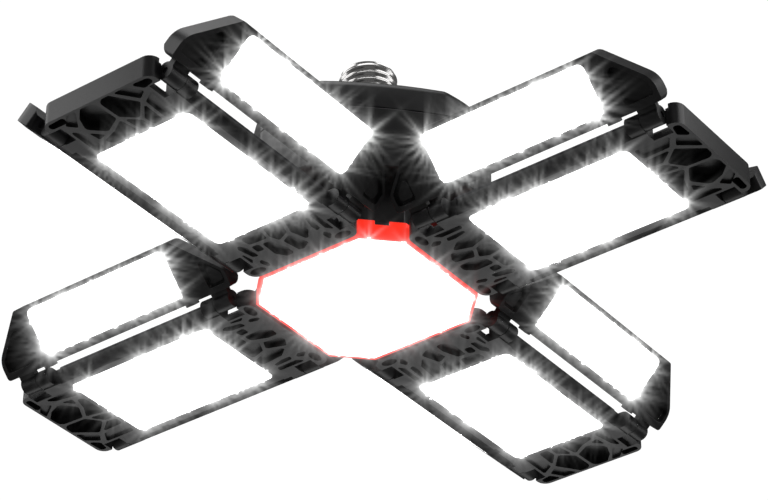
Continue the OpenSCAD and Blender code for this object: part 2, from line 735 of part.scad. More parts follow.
// Frame of an arm, whose pattern of ribs is mirrored on every second arm
module arm_frame(flipped) {
    outline = rect([-arm_root, -arm_w / 2], [arm_end, arm_w / 2]);
    rail_out = lit_w / 2 + rail_w;
    ear_slot = ear_t / 2 + ear_gap;
    color(black_plastic) difference() {
        union() {
            difference() {
                union() {
                    rounded_plate(outline, block_r, rail_h);
                    intersection() {
                        rounded_plate(outline, block_r, end_wall_h);
                        box([arm_end - end_wall_t, -arm_w, 0], [arm_end + 1, arm_w, end_wall_h]);
                    }
                }
                mirrored_x() mirrored_y() hinge_room();
                mirrored_y() box([-half_lit - 2, rail_out, -1], [half_lit + 2, arm_w, rail_h + 1]);
            }
            mirrored_x() mirrored_y() arm_hinge_knuckle();
            for (x = [-stake_x, stake_x], y = [-stake_y, stake_y]) translate([x, y, rail_h - eps]) {
                cylinder(h = sink_t + 2 * eps, d = stake_d);
                translate([0, 0, sink_t + eps]) cylinder(h = stake_head_h, d = stake_head_d);
            }
        }
        // lit opening and the pocket behind its lip
        translate([0, 0, -1]) linear_extrude(rail_h + 2) lit_outline(lit_len, lit_w, 0);
        translate([0, 0, lip_t]) linear_extrude(rail_h) lit_outline(lit_len, lit_w, lens_lip);
        // latch notches in the rails, and notches that show the lens's flange
        for (x = [-latch_x, latch_x]) mirrored_y()
            box([x - latch_w / 2, rail_out - lip_t, -1], [x + latch_w / 2, rail_out + 1, 2.5 * lip_t]);
        mirrored_y() box([-latch_x - light_notch_w / 2, lit_w / 2 - 1, -1],
                         [-latch_x + light_notch_w / 2, lit_w / 2 + lens_lip - 0.2, lip_t + eps]);
        // cells between the ribs
        mirror([0, flipped ? 1 : 0, 0]) {
            cells_from(arm_end, drawn_end, end_len, cell_d) end_cells();
            cells_from(arm_end, drawn_end, end_len, shallow_d) end_corner_cells();
            mirror([1, 0, 0]) cells_from(arm_root, drawn_root, root_len, leaf_d) root_cells();
            mirror([1, 0, 0]) cells_from(arm_root, drawn_root, root_len, shallow_d) root_side_cells();
        }
        // slots for the hub's ears, open to the inner end and the top
        mirrored_y() box([-arm_root - 1, ear_y - ear_slot, ear_slot_z],
                         [fold_u, ear_y + ear_slot, end_wall_h]);
        mirrored_y() translate([fold_u, ear_y + ear_slot, fold_z]) rotate([90, 0, 0])
            linear_extrude(2 * ear_slot) {
                circle(r = ear_r + ear_gap);
                translate([-eps, 0]) square([ear_r + ear_gap + eps, end_wall_h]);
            }
        // bores for the fold pin and the wing pins
        translate([fold_u, fold_pin_len / 2, fold_z]) rotate([90, 0, 0])
            cylinder(h = fold_pin_len, r = fold_pin_d / 2 + snug_fit);
        mirrored_x() mirrored_y() translate([wing_pin_u, hinge_y, hinge_z]) rotate([0, 90, 0])
            cylinder(h = wing_pin_len, r = wing_pin_d / 2 + snug_fit);
    }
}

module arm_hinge_pins() {
    color(steel) {
        translate([fold_u, fold_pin_len / 2, fold_z]) rotate([90, 0, 0])
            cylinder(h = fold_pin_len, d = fold_pin_d);
        mirrored_x() mirrored_y() translate([wing_pin_u, hinge_y, hinge_z]) rotate([0, 90, 0])
            cylinder(h = wing_pin_len, d = wing_pin_d);
    }
}

// Lens of a lit panel: a flat face with a flange behind the frame's lip, and a rim up to the light board
module panel_lens(length, width, lip) {
    color(lit_white) {
        linear_extrude(lens_t) lit_outline(length, width, -lens_gap);
        translate([0, 0, lip_t]) linear_extrude(lens_t - lip_t) lit_outline(length, width, lip - lens_gap);
        translate([0, 0, lip_t]) linear_extrude(board_z - lip_t) difference() {
            lit_outline(length, width, lip - lens_gap);
            lit_outline(length, width, lip - lens_gap - 1);
        }
    }
}

module panel_board(length, width, lip, columns, rows) {
    color(board_white) {
        translate([0, 0, board_z]) linear_extrude(board_t) lit_outline(length, width, lip - lens_gap);
        chips(columns, rows, length - 4, width - 4);
    }
}

module arm_lens() {
    panel_lens(lit_len, lit_w, lens_lip);
}

module arm_led_board() {
    panel_board(lit_len, lit_w, lens_lip, 7, 4);
}

module arm_heat_sink() {
    plate = [half_lit + ledge_len - 0.4, lit_w / 2 + rail_w - 0.4];
    fin_pitch = (2 * stake_y - stake_head_d - 2) / (fin_count - 1);
    color(black_metal) difference() {
        union() {
            translate([0, 0, sink_bed]) linear_extrude(rail_h - sink_bed)
                lit_outline(lit_len, lit_w, lens_lip - lens_gap);
            translate([0, 0, rail_h]) rounded_plate(rect(-plate, plate), 2, sink_t);
            for (i = [0:fin_count - 1])
                translate([-half_lit, (i - (fin_count - 1) / 2) * fin_pitch - fin_t / 2, rail_h])
                    cube([lit_len, fin_t, sink_t + fin_h]);
        }
        for (x = [-stake_x, stake_x], y = [-stake_y, stake_y])
            translate([x, y, rail_h - 1]) cylinder(h = sink_t + 2, d = stake_d + 0.2);
    }
}

// ---- Wings ----

wing_lip = 0.8;
wing_mid_y = (wing_lit_near + wing_lit_far) / 2;
wing_chamfer = 2.6;
mitre_in_u = hinge_y + wing_reach + mitre_gap / 2 - arm_mid;
rise_in = wing_reach - (mitre_in_u + half_len);
recess_rim = 1.8;
recess_len = 10.6;
recess_groove = 1.3;

// Outline of a wing lying flat, with its hinge axis along y = 0
module wing_outline(inset) {
    outer_u = half_len - wing_mitre;
    rise_out = wing_reach - wing_mitre;
    cut = inset * tan(22.5);
    points = [
        [-half_len + inset, wing_near + inset], [half_len - inset, wing_near + inset],
        [half_len - inset, rise_out - cut], [outer_u - cut, wing_reach - inset],
        [mitre_in_u + cut, wing_reach - inset], [-half_len + inset, rise_in - cut]
    ];
    polygon(rounded(points, [1.5, 1.5, mitre_r - inset, 2, 2, (mitre_r - inset) * 0.5]));
}

// Side view of a wing across its hinge: chamfered at the back beside the hinge
module wing_side() {
    polygon([[wing_near, 0], [wing_reach, 0], [wing_reach, wing_t - 1], [wing_reach - 1, wing_t],
             [wing_near + wing_chamfer, wing_t], [wing_near, wing_t - wing_chamfer]]);
}

module wing_knuckle() {
    arm_t = 3.2;
    translate([wing_knuckle_u, 0, hinge_z]) rotate([90, 0, 90]) linear_extrude(knuckle_len) {
        circle(r = knuckle_r);
        translate([0, -arm_t / 2 - 0.6]) square([wing_near + 1, arm_t]);
    }
}

// Recess behind the rim of a wing's inner end, drawn in by a distance
module inner_recess(inset) {
    start = recess_rim + inset;
    end = recess_len - inset;
    low = wing_near + 2.5 + inset;
    translate([-half_len, 0]) cell([
        [start, low, 1.2], [end, low, 1.2], [end, rise_in - recess_rim + end - inset * sqrt(2), 1.4],
        [start, rise_in - recess_rim + start - inset * sqrt(2), 1.6]
    ]);
}

// Rounded recess under the outer end of a wing, and the grooved one under its inner end
module wing_recesses() {
    deep = 2.6;
    translate([0, 0, -1]) linear_extrude(deep) inner_recess(0);
    translate([0, 0, -1]) linear_extrude(deep + 1) difference() {
        inner_recess(0);
        inner_recess(recess_groove);
    }
    translate([0, 0, -1]) linear_extrude(deep + 1)
        cell([[wing_end_u + 1.2, wing_lit_near - 0.4, 1.2], [half_len - 2, wing_lit_near - 0.4, 1.2],
              [half_len - 2.4, wing_lit_near + 5.2, 2.5],
              [half_len - wing_mitre + 1.6, wing_reach - 4.4, 2.2]]);
}

module wing_frame() {
    slots = 5;
    slot_span = wing_reach - wing_near - 8;
    color(black_plastic) difference() {
        union() {
            intersection() {
                linear_extrude(wing_t) wing_outline(0);
                translate([-half_len - 1, 0, 0]) rotate([90, 0, 90]) linear_extrude(arm_len + 2) wing_side();
            }
            mirrored_x() wing_knuckle();
            mirrored_x() box([arm_knuckle_u - 6, wing_near - 1.2, 0.6],
                             [arm_knuckle_u - 0.8, wing_near + 1, 4]);
        }
        translate([0, wing_mid_y, -1]) linear_extrude(wing_pocket_z + 1)
            lit_outline(wing_lit_len, wing_lit_w, 0);
        translate([0, wing_mid_y, lip_t]) linear_extrude(wing_pocket_z - lip_t)
            lit_outline(wing_lit_len, wing_lit_w, wing_lip);
        wing_recesses();
        for (i = [0:slots - 1])
            translate([0, wing_near + 4.4 + slot_span * (i + 0.5) / slots, wing_t - 1.4])
                rounded_plate(rect([-half_lit + 3, -slot_span / slots / 2 + 0.8],
                                   [half_lit - 3, slot_span / slots / 2 - 0.8]), 1, 3);
        mirrored_x() translate([wing_knuckle_u - 1, 0, hinge_z]) rotate([0, 90, 0])
            cylinder(h = knuckle_len + 2, r = wing_pin_d / 2 + run_fit);
    }
}

module wing_lens() {
    translate([0, wing_mid_y, 0]) panel_lens(wing_lit_len, wing_lit_w, wing_lip);
}

module wing_led_board() {
    translate([0, wing_mid_y, 0]) panel_board(wing_lit_len, wing_lit_w, wing_lip, 8, 2);
}

screw_shell();
centre_contact();
shell_insulator();
neck_collar();
housing_cap();
housing_base();
housing_screws();
driver_board();
driver_components();
hub_core();
centre_heat_sink();
centre_led_board();
centre_lens();
red_bezel();
for (k = [0:3]) {
    arm = str("arm_", k + 1, "_");
    place_arm(k) arm_frame(k % 2 == 1);
    place_arm(k) arm_heat_sink();
    place_arm(k) arm_led_board();
    place_arm(k) arm_lens();
    place_arm(k) arm_hinge_pins();
    for (left = [true, false]) {
        wing = str("wing_", k + 1, left ? "_left_" : "_right_");
        place_wing(k, left) wing_frame();
        place_wing(k, left) wing_led_board();
        place_wing(k, left) wing_lens();
    }
}
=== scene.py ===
"""Dresses the deformable garage light: black mouldings, lit lenses, a red bezel and a rolled screw shell."""

import logging
import math
from dataclasses import dataclass
from enum import Enum
from typing import ClassVar

import bmesh
import bpy
from mathutils import Matrix, Vector


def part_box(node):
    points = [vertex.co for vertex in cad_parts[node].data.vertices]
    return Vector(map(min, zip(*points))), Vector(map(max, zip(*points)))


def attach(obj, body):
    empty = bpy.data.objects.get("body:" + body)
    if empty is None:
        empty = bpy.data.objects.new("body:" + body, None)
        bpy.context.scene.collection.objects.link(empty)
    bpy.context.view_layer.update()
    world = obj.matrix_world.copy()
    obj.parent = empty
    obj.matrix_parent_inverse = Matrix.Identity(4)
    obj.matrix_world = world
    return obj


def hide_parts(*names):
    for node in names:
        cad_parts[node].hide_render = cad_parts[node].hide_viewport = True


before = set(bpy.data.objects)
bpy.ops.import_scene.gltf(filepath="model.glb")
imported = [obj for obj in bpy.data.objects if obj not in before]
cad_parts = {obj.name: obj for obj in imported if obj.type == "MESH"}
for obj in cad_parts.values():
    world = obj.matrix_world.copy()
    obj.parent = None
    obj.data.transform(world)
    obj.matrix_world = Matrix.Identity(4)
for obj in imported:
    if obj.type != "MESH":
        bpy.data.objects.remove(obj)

log = logging.getLogger("garage_light")

Colour = tuple[float, float, float, float]
Triple = tuple[float, float, float]
Span = tuple[float, float]
Socket = bpy.types.NodeSocket
MM = 0.001
MOST_NOISE: Span = (0.3, 0.7)  # most values of a noise lie between these
LENS_EDGE = 0.15 * MM  # rounding of the arms' and wings' lenses


class Slot(Enum):
    """The record's material slots."""

    BLACK_PLASTIC = "black_plastic"
    RED_PLASTIC = "red_plastic"
    LENS = "lens"
    LED_BOARD = "led_board"
    HEAT_SINK = "heat_sink"
    SINK_PLAIN = "sink_plain"
    SCREW_SHELL = "screw_shell"
    CONTACT = "contact"
    INSULATOR = "insulator"
    STEEL = "steel"
    CIRCUIT_BOARD = "circuit_board"
    COMPONENTS = "components"


class Side(Enum):
    """The two sides of an arm that carry a wing."""

    LEFT = "left"
    RIGHT = "right"


# ---- Finishes ----


class Graph:
    """A material's node tree, with short calls that add and join its nodes."""

    def __init__(self, name: str) -> None:
        """Starts an empty material.

        Args:
            name: The material's name.
        """
        self.material = bpy.data.materials.new(name)
        self.material.use_nodes = True
        self.tree = self.material.node_tree
        self.tree.nodes.clear()
        self.output = self.tree.nodes.new("ShaderNodeOutputMaterial")
        self.place = self.add("ShaderNodeTexCoord").outputs["Object"]

    def add(self, kind: str, settings: dict | None = None, **sockets: object) -> bpy.types.Node:
        """Adds a node.

        Args:
            kind: The node's type.
            settings: Values of the node's own properties.
            **sockets: Input sockets by name, with _ for a space, each given a value or an output to join.

        Returns:
            The new node.
        """
        node = self.tree.nodes.new(kind)
        for name, value in (settings or {}).items():
            setattr(node, name, value)
        for name, value in sockets.items():
            socket = node.inputs[name.replace("_", " ")]
            if isinstance(value, Socket):
                self.tree.links.new(value, socket)
            else:
                socket.default_value = value
        return node

    def noise(self, scale: float, detail: float = 3.0, stretch: Triple = (1, 1, 1)) -> Socket:
        """Adds a noise pattern on the piece's own coordinates.

        Args:
            scale: Cells in a metre.
            detail: Octaves of the noise.
            stretch: Scale of the pattern along x, y and z.

        Returns:
            The noise's value, from 0 to 1.
        """
        mapping = self.add("ShaderNodeMapping", Vector=self.place, Scale=stretch)
        node = self.add("ShaderNodeTexNoise", Vector=mapping.outputs["Vector"], Scale=scale, Detail=detail)
        return node.outputs["Fac"]

    def ramp(self, value: Socket, span: Span, start: float = 0.0, end: float = 1.0) -> Socket:
        """Maps a value from one range to another and clamps it.

        Args:
            value: The value to map.
            span: Where the input range starts and ends.
            start: The result at the range's start.
            end: The result at its end.

        Returns:
            The mapped value.
        """
        low, high = span
        node = self.add(
            "ShaderNodeMapRange", Value=value, From_Min=low, From_Max=high, To_Min=start, To_Max=end
        )
        return node.outputs["Result"]

    def calc(self, operation: str, *values: object) -> Socket:
        """Adds a step of arithmetic.

        Args:
            operation: The step, by the Math node's name.
            *values: Its one or two values or outputs.

        Returns:
            The result.
        """
        node = self.add("ShaderNodeMath", {"operation": operation})
        for socket, value in zip(node.inputs, values):
            if isinstance(value, Socket):
                self.tree.links.new(value, socket)
            else:
                socket.default_value = value
        return node.outputs["Value"]

    def openness(self, reach: float) -> Socket:
        """Measures how open the surface lies: 1 on a flat, near 0 deep in a cell.

        Args:
            reach: How far round a point counts, in metres.

        Returns:
            The share of the view that is open.
        """
        node = self.add("ShaderNodeAmbientOcclusion", {"samples": 8, "only_local": True}, Distance=reach)
        return node.outputs["AO"]

    def blend(self, share: Socket, first: object, second: object) -> Socket:
        """Mixes two colours.

        Args:
            share: How much of the second colour shows.
            first: The colour at 0, or an output that gives it.
            second: The colour at 1, or an output that gives it.

        Returns:
            The mixed colour.
        """
        node = self.add("ShaderNodeMixRGB", Fac=share, Color1=first, Color2=second)
        return node.outputs["Color"]

    def bump(self, height: Socket, depth: float, strength: float = 1.0) -> Socket:
        """Turns a height into a surface normal.

        Args:
            height: The height pattern, from 0 to 1.
            depth: The pattern's depth in metres.
            strength: Share of the bump that shows.

        Returns:
            The bumped normal.
        """
        return self.add("ShaderNodeBump", Height=height, Distance=depth, Strength=strength).outputs["Normal"]

    def finish(self, **sockets: object) -> bpy.types.Material:
        """Ends the material in a Principled shader.

        Args:
            **sockets: The shader's inputs by name, with _ for a space.

        Returns:
            The finished material.
        """
        shader = self.add("ShaderNodeBsdfPrincipled", **sockets)
        self.tree.links.new(shader.outputs["BSDF"], self.output.inputs["Surface"])
        return self.material


@dataclass(frozen=True)
class Finish:
    """A surface finish.

    Attributes:
        name: The material's name.
        colour: Its main colour.
        roughness: Its mean roughness.
    """

    name: str
    colour: Colour
    roughness: float

    def shade(self, factor: float) -> Colour:
        """Gives the main colour, lighter or darker.

        Args:
            factor: How much lighter.

        Returns:
            The shade, with no channel over 1.
        """
        return tuple(min(1.0, c * factor) for c in self.colour[:3]) + (self.colour[3],)

    def uneven(
        self, graph: Graph, pattern: Socket, below: float, above: float, span: Span = MOST_NOISE
    ) -> Socket:
        """Lets the roughness follow a pattern.

        Args:
            graph: The material's nodes.
            pattern: The pattern.
            below: How far the roughness falls under its mean.
            above: How far it rises over its mean.
            span: The pattern's values at which it is lowest and highest.

        Returns:
            The roughness.
        """
        return graph.ramp(pattern, span, self.roughness - below, self.roughness + above)

    def build(self) -> bpy.types.Material:
        """Builds the material's nodes.

        Returns:
            The material.

        Raises:
            NotImplementedError: Each kind of finish has its own.
        """
        raise NotImplementedError


@dataclass(frozen=True)
class MouldedPlastic(Finish):
    """Injection-moulded plastic: a fine eroded grain, faint flow marks, dull recesses with painted shade, and a
    painted highlight on its edges.

    Attributes:
        grain: Grains in a metre.
        grain_depth: Depth of the grain in metres.
        coat: Share of the gloss that lies over the colour.
        recess: How far into a recess its dullness and its painted shade reach, in metres.
        edge_highlight: How much lighter the edges are painted, as a painted highlight.
        glow: Strength of a painted glow, light that the plastic gives off of its own though it is no lamp.
        SHARP: Pointiness at which the painted edge highlight starts and at which it is full.
        RECESS: Openness at the bottom of a recess and outside it.
        POLISH: The flow marks' values between which the polish changes.
        FLOW: Flow marks in a metre.
        PAINTED_RECESS_SHADE: How dark the painted shade makes the colour at the bottom of a recess.
        DEEP_DULLNESS: Roughness that the bottom of a recess adds.
    """

    SHARP: ClassVar[Span] = (0.51, 0.6)
    RECESS: ClassVar[Span] = (0.35, 0.85)
    POLISH: ClassVar[Span] = (0.25, 0.75)
    FLOW: ClassVar[float] = 22.0
    PAINTED_RECESS_SHADE: ClassVar[float] = 0.45
    DEEP_DULLNESS: ClassVar[float] = 0.32

    grain: float = 2600.0
    grain_depth: float = 0.00003
    coat: float = 0.0
    recess: float = 0.005
    edge_highlight: float = 2.6
    glow: float = 0.0

    def build(self) -> bpy.types.Material:
        """Builds the material's nodes.

        Returns:
            The material.
        """
        graph = Graph(self.name)
        flow = graph.noise(self.FLOW, 4.0)
        grain = graph.noise(self.grain, 2.0)
        edge = graph.add("ShaderNodeNewGeometry").outputs["Pointiness"]
        # Painted highlight: sharp edges are made lighter to stand in for the light caught on rounded edges.
        lit_edge_mask = graph.ramp(edge, self.SHARP)
        # Painted shade: the colour is darkened where the surface is closed in, as in the cells; the same mask
        # makes the roughness rise there.
        deep = graph.ramp(graph.openness(self.recess), self.RECESS, 1.0, 0.0)
        body = graph.blend(graph.ramp(flow, MOST_NOISE), self.shade(0.85), self.shade(1.15))
        highlighted_body = graph.blend(lit_edge_mask, body, self.shade(self.edge_highlight))
        polish = self.uneven(graph, flow, 0.04, 0.05, self.POLISH)
        dull = graph.calc("MULTIPLY", deep, self.DEEP_DULLNESS)
        return graph.finish(
            Base_Color=graph.blend(deep, highlighted_body, self.shade(self.PAINTED_RECESS_SHADE)),
            Roughness=graph.calc("ADD", polish, dull),
            Coat_Weight=self.coat,
            Coat_Roughness=0.12,
            # Painted glow: the plastic gives off light in its own colour when glow is set.
            Emission_Color=self.colour,
            Emission_Strength=self.glow,
            Normal=graph.bump(grain, self.grain_depth),
        )


class Panel(Enum):
    """The lit panels, each with its half length, half width and the reach of its corners in millimetres."""

    ARM = (38.3, 24.05, 42.9)
    WING = (38.9, 11.05, 34.1)
    CENTRE = (37.95, 37.95, 44.2)


@dataclass(frozen=True)
class LitDiffuser(Finish):
    """Milky diffuser that glows, with small glints of its chips along its edges.

    Attributes:
        glow: Strength of the light.
        glint: How much stronger the strongest glint is.
        spacing: Mean distance between two glints in millimetres.
        size: Radius of a glint in millimetres.
        border: Width of the band along the edges that holds the glints, in millimetres.
        corners: How much stronger the glints are at the panel's corners.
        CORNER: Distances from a corner, in millimetres, where that strength starts to fade and ends.
        RIM: Radii between which a glint fades, as shares of its size.
        FADE: Width of the band's inner edge in millimetres.
        CHANCE: Draws of the weakest and the strongest glint.
        RARITY: How much rarer strong glints are than weak ones.
    """

    CORNER: ClassVar[Span] = (3.0, 9.0)
    RIM: ClassVar[Span] = (0.6, 1.3)
    FADE: ClassVar[float] = 0.3
    CHANCE: ClassVar[Span] = (0.15, 1.0)
    RARITY: ClassVar[float] = 1.3

    glow: float = 1.8
    glint: float = 420.0
    spacing: float = 2.8
    size: float = 0.2
    border: float = 2.4
    corners: float = 3.5

    def glints(self, graph: Graph, panel: Panel) -> Socket:
        """Spreads glints along a panel's edges.

        Args:
            graph: The material's nodes.
            panel: The panel, which gives the edges.

        Returns:
            The strength of the glints, from 0 to 1.
        """
        length, width, corner = panel.value
        place = graph.add("ShaderNodeUVMap", {"uv_map": "panel"}).outputs["UV"]
        across = graph.add("ShaderNodeSeparateXYZ", Vector=place)
        x, y = (graph.calc("ABSOLUTE", across.outputs[axis]) for axis in "XY")
        cut = graph.calc("SUBTRACT", corner * math.sqrt(2), graph.calc("ADD", x, y))
        ends, sides = graph.calc("SUBTRACT", length, x), graph.calc("SUBTRACT", width, y)
        corner_share = graph.ramp(graph.calc("ADD", ends, sides), self.CORNER, self.corners, 1.0)
        inside = graph.calc("MINIMUM", ends, sides)
        inside = graph.calc("MINIMUM", inside, graph.calc("MULTIPLY", cut, math.sqrt(0.5)))
        chips = graph.add(
            "ShaderNodeTexVoronoi", {"voronoi_dimensions": "2D"}, Vector=place, Scale=1 / self.spacing
        )
        spot = self.size / self.spacing
        core, halo = self.RIM
        dots = graph.ramp(chips.outputs["Distance"], (spot * core, spot * halo), 1.0, 0.0)
        chance = graph.add("ShaderNodeSeparateColor", Color=chips.outputs["Color"]).outputs["Red"]
        band = graph.ramp(inside, (self.border, self.border + self.FADE), 1.0, 0.0)
        strength = graph.calc("POWER", graph.ramp(chance, self.CHANCE), self.RARITY)
        strength = graph.calc("MULTIPLY", strength, corner_share)
        return graph.calc("MULTIPLY", graph.calc("MULTIPLY", dots, band), strength)

    def build(self, panel: Panel = Panel.ARM) -> bpy.types.Material:
        """Builds the material's nodes for a panel.

        Args:
            panel: The panel that it fills.

        Returns:
            The material.
        """
        graph = Graph(f"{self.name}_{panel.name.lower()}")
        haze = graph.noise(140.0, 2.0)
        frost = graph.noise(4200.0, 2.0)
        light = graph.calc("MULTIPLY_ADD", self.glints(graph, panel), self.glint, self.glow)
        return graph.finish(
            Base_Color=graph.blend(haze, self.shade(0.97), self.shade(1.0)),
            Roughness=self.uneven(graph, haze, 0.04, 0.04),
            Emission_Color=self.colour,
            Emission_Strength=light,
            Normal=graph.bump(frost, 0.00001),
        )


@dataclass(frozen=True)
class Metal(Finish):
    """Plated or bare metal with drawn scratches and a patchy tarnish.

    Attributes:
        stretch: Scale of the scratches along x, y and z.
        scratches: Scratches in a metre across their run.
        tarnish: The colour of its tarnish.
        PATCH: Values of the patches' noise where the tarnish starts and where it is full.
    """

    PATCH: ClassVar[Span] = (0.55, 0.8)

    stretch: Triple = (1.0, 1.0, 1.0)
    scratches: float = 900.0
    tarnish: Colour = (0.3, 0.28, 0.25, 1.0)

    def build(self) -> bpy.types.Material:
        """Builds the material's nodes.

        Returns:
            The material.
        """
        graph = Graph(self.name)
        patches = graph.noise(90.0, 4.0)
        scratch = graph.noise(self.scratches, 3.0, self.stretch)
        dull = graph.ramp(patches, self.PATCH, 0.0, 0.35)
        return graph.finish(
            Base_Color=graph.blend(dull, self.colour, self.tarnish),
            Metallic=1.0,
            Roughness=self.uneven(graph, scratch, 0.06, 0.1),
            Normal=graph.bump(scratch, 0.000012),
        )


@dataclass(frozen=True)
class CoatedBoard(Finish):
    """Circuit board with a lacquered mask over its copper tracks.

    Attributes:
        track: Colour of the mask where a track lies under it.
        pitch: Tracks in a metre.
        TRACK_EDGE: Where a track's edge starts and ends, as shares of the distance between tracks.
    """

    TRACK_EDGE: ClassVar[Span] = (0.02, 0.08)

    track: Colour = (0.9, 0.9, 0.9, 1.0)
    pitch: float = 190.0

    def build(self) -> bpy.types.Material:
        """Builds the material's nodes.

        Returns:
            The material.
        """
        graph = Graph(self.name)
        cells = graph.add(
            "ShaderNodeTexVoronoi", {"feature": "DISTANCE_TO_EDGE"}, Vector=graph.place, Scale=self.pitch
        )
        tracks = graph.ramp(cells.outputs["Distance"], self.TRACK_EDGE, 1.0, 0.0)
        return graph.finish(
            Base_Color=graph.blend(tracks, self.colour, self.track),
            Roughness=self.uneven(graph, graph.noise(400.0), 0.05, 0.08),
            Normal=graph.bump(tracks, 0.00003),
        )


@dataclass(frozen=True)
class Winding(Finish):
    """Varnished wire and moulded parts of the driver, in fine level turns.

    Attributes:
        turns: How fast the turns follow each other up the height, in radians per metre.
        WAVE: The wave node's own rate at scale 1, in radians per metre.
    """

    WAVE: ClassVar[float] = 20.0

    turns: float = 900.0

    def build(self) -> bpy.types.Material:
        """Builds the material's nodes.

        Returns:
            The material.
        """
        graph = Graph(self.name)
        mapping = graph.add("ShaderNodeMapping", Vector=graph.place, Scale=(0.0, 0.0, 1.0))
        waves = graph.add(
            "ShaderNodeTexWave", {"bands_direction": "Z"}, Vector=mapping.outputs["Vector"],
            Scale=self.turns / self.WAVE,
        ).outputs["Fac"]
        return graph.finish(
            Base_Color=graph.blend(waves, self.shade(0.5), self.shade(1.3)),
            Roughness=graph.ramp(waves, (0.0, 1.0), self.roughness + 0.1, self.roughness),
            Normal=graph.bump(waves, 0.0001),
        )


FINISHES: dict[Slot, Finish] = {
    # Black mouldings: painted highlight on the edges and painted shade in the recesses.
    Slot.BLACK_PLASTIC: MouldedPlastic("black_moulded_plastic", (0.0085, 0.0083, 0.009, 1.0), 0.34),
    # Red bezel: a painted glow, as if lit though it is no lamp, and only a faint painted edge highlight.
    Slot.RED_PLASTIC: MouldedPlastic(
        "red_gloss_plastic", (0.95, 0.022, 0.006, 1.0), 0.42, grain=1500.0, grain_depth=0.00001, recess=0.001,
        edge_highlight=1.1, glow=0.85,
    ),
    Slot.LENS: LitDiffuser("lit_diffuser", (1.0, 1.0, 1.0, 1.0), 0.5),
    Slot.LED_BOARD: CoatedBoard(
        "white_light_board", (0.82, 0.83, 0.8, 1.0), 0.4, track=(0.7, 0.72, 0.68, 1.0)
    ),
    Slot.HEAT_SINK: Metal(
        "black_anodised_sink", (0.03, 0.03, 0.034, 1.0), 0.42, scratches=700.0, tarnish=(0.05, 0.05, 0.055, 1.0)
    ),
    Slot.SINK_PLAIN: Metal(
        "plain_sink_plate", (0.62, 0.63, 0.64, 1.0), 0.36, stretch=(1, 8, 1), scratches=300.0
    ),
    Slot.SCREW_SHELL: Metal(
        "nickel_screw_shell", (0.82, 0.81, 0.8, 1.0), 0.16, stretch=(1, 1, 14), scratches=260.0
    ),
    Slot.CONTACT: Metal("brass_contact", (0.75, 0.58, 0.28, 1.0), 0.3, scratches=1200.0),
    Slot.INSULATOR: MouldedPlastic(
        "black_glass_insulator", (0.012, 0.011, 0.014, 1.0), 0.16, grain=700.0, grain_depth=0.00001, coat=0.6
    ),
    Slot.STEEL: Metal(
        "blackened_steel", (0.12, 0.12, 0.125, 1.0), 0.38, scratches=1500.0, tarnish=(0.06, 0.055, 0.05, 1.0)
    ),
    Slot.CIRCUIT_BOARD: CoatedBoard(
        "green_driver_board", (0.02, 0.13, 0.05, 1.0), 0.32, track=(0.05, 0.24, 0.09, 1.0)
    ),
    Slot.COMPONENTS: Winding("driver_windings", (0.24, 0.12, 0.04, 1.0), 0.35),
}


class Paintshop:
    """Builds each finish once and gives its material."""

    def __init__(self) -> None:
        """Builds every finish, and the diffuser once for each panel."""
        self.materials = {slot: finish.build() for slot, finish in FINISHES.items() if slot is not Slot.LENS}
        self.panels = {panel: FINISHES[Slot.LENS].build(panel) for panel in Panel}

    def coat(self, piece: bpy.types.Object, slot: Slot, panel: Panel = Panel.ARM) -> None:
        """Gives a piece a slot's material.

        Args:
            piece: The piece to coat.
            slot: The record's material slot.
            panel: The panel that a lens fills.
        """
        if not piece.material_slots:
            piece.data.materials.append(None)
        for place in piece.material_slots:
            place.link = "OBJECT"
            place.material = self.panels[panel] if slot is Slot.LENS else self.materials[slot]


# ---- Making pieces ----


def placed(name: str, data: bpy.types.ID) -> bpy.types.Object:
    """Puts an object into the scene.

    Args:
        name: The object's name.
        data: Its mesh, light or camera.

    Returns:
        The object.
    """
    thing = bpy.data.objects.new(name, data)
    bpy.context.scene.collection.objects.link(thing)
    return thing


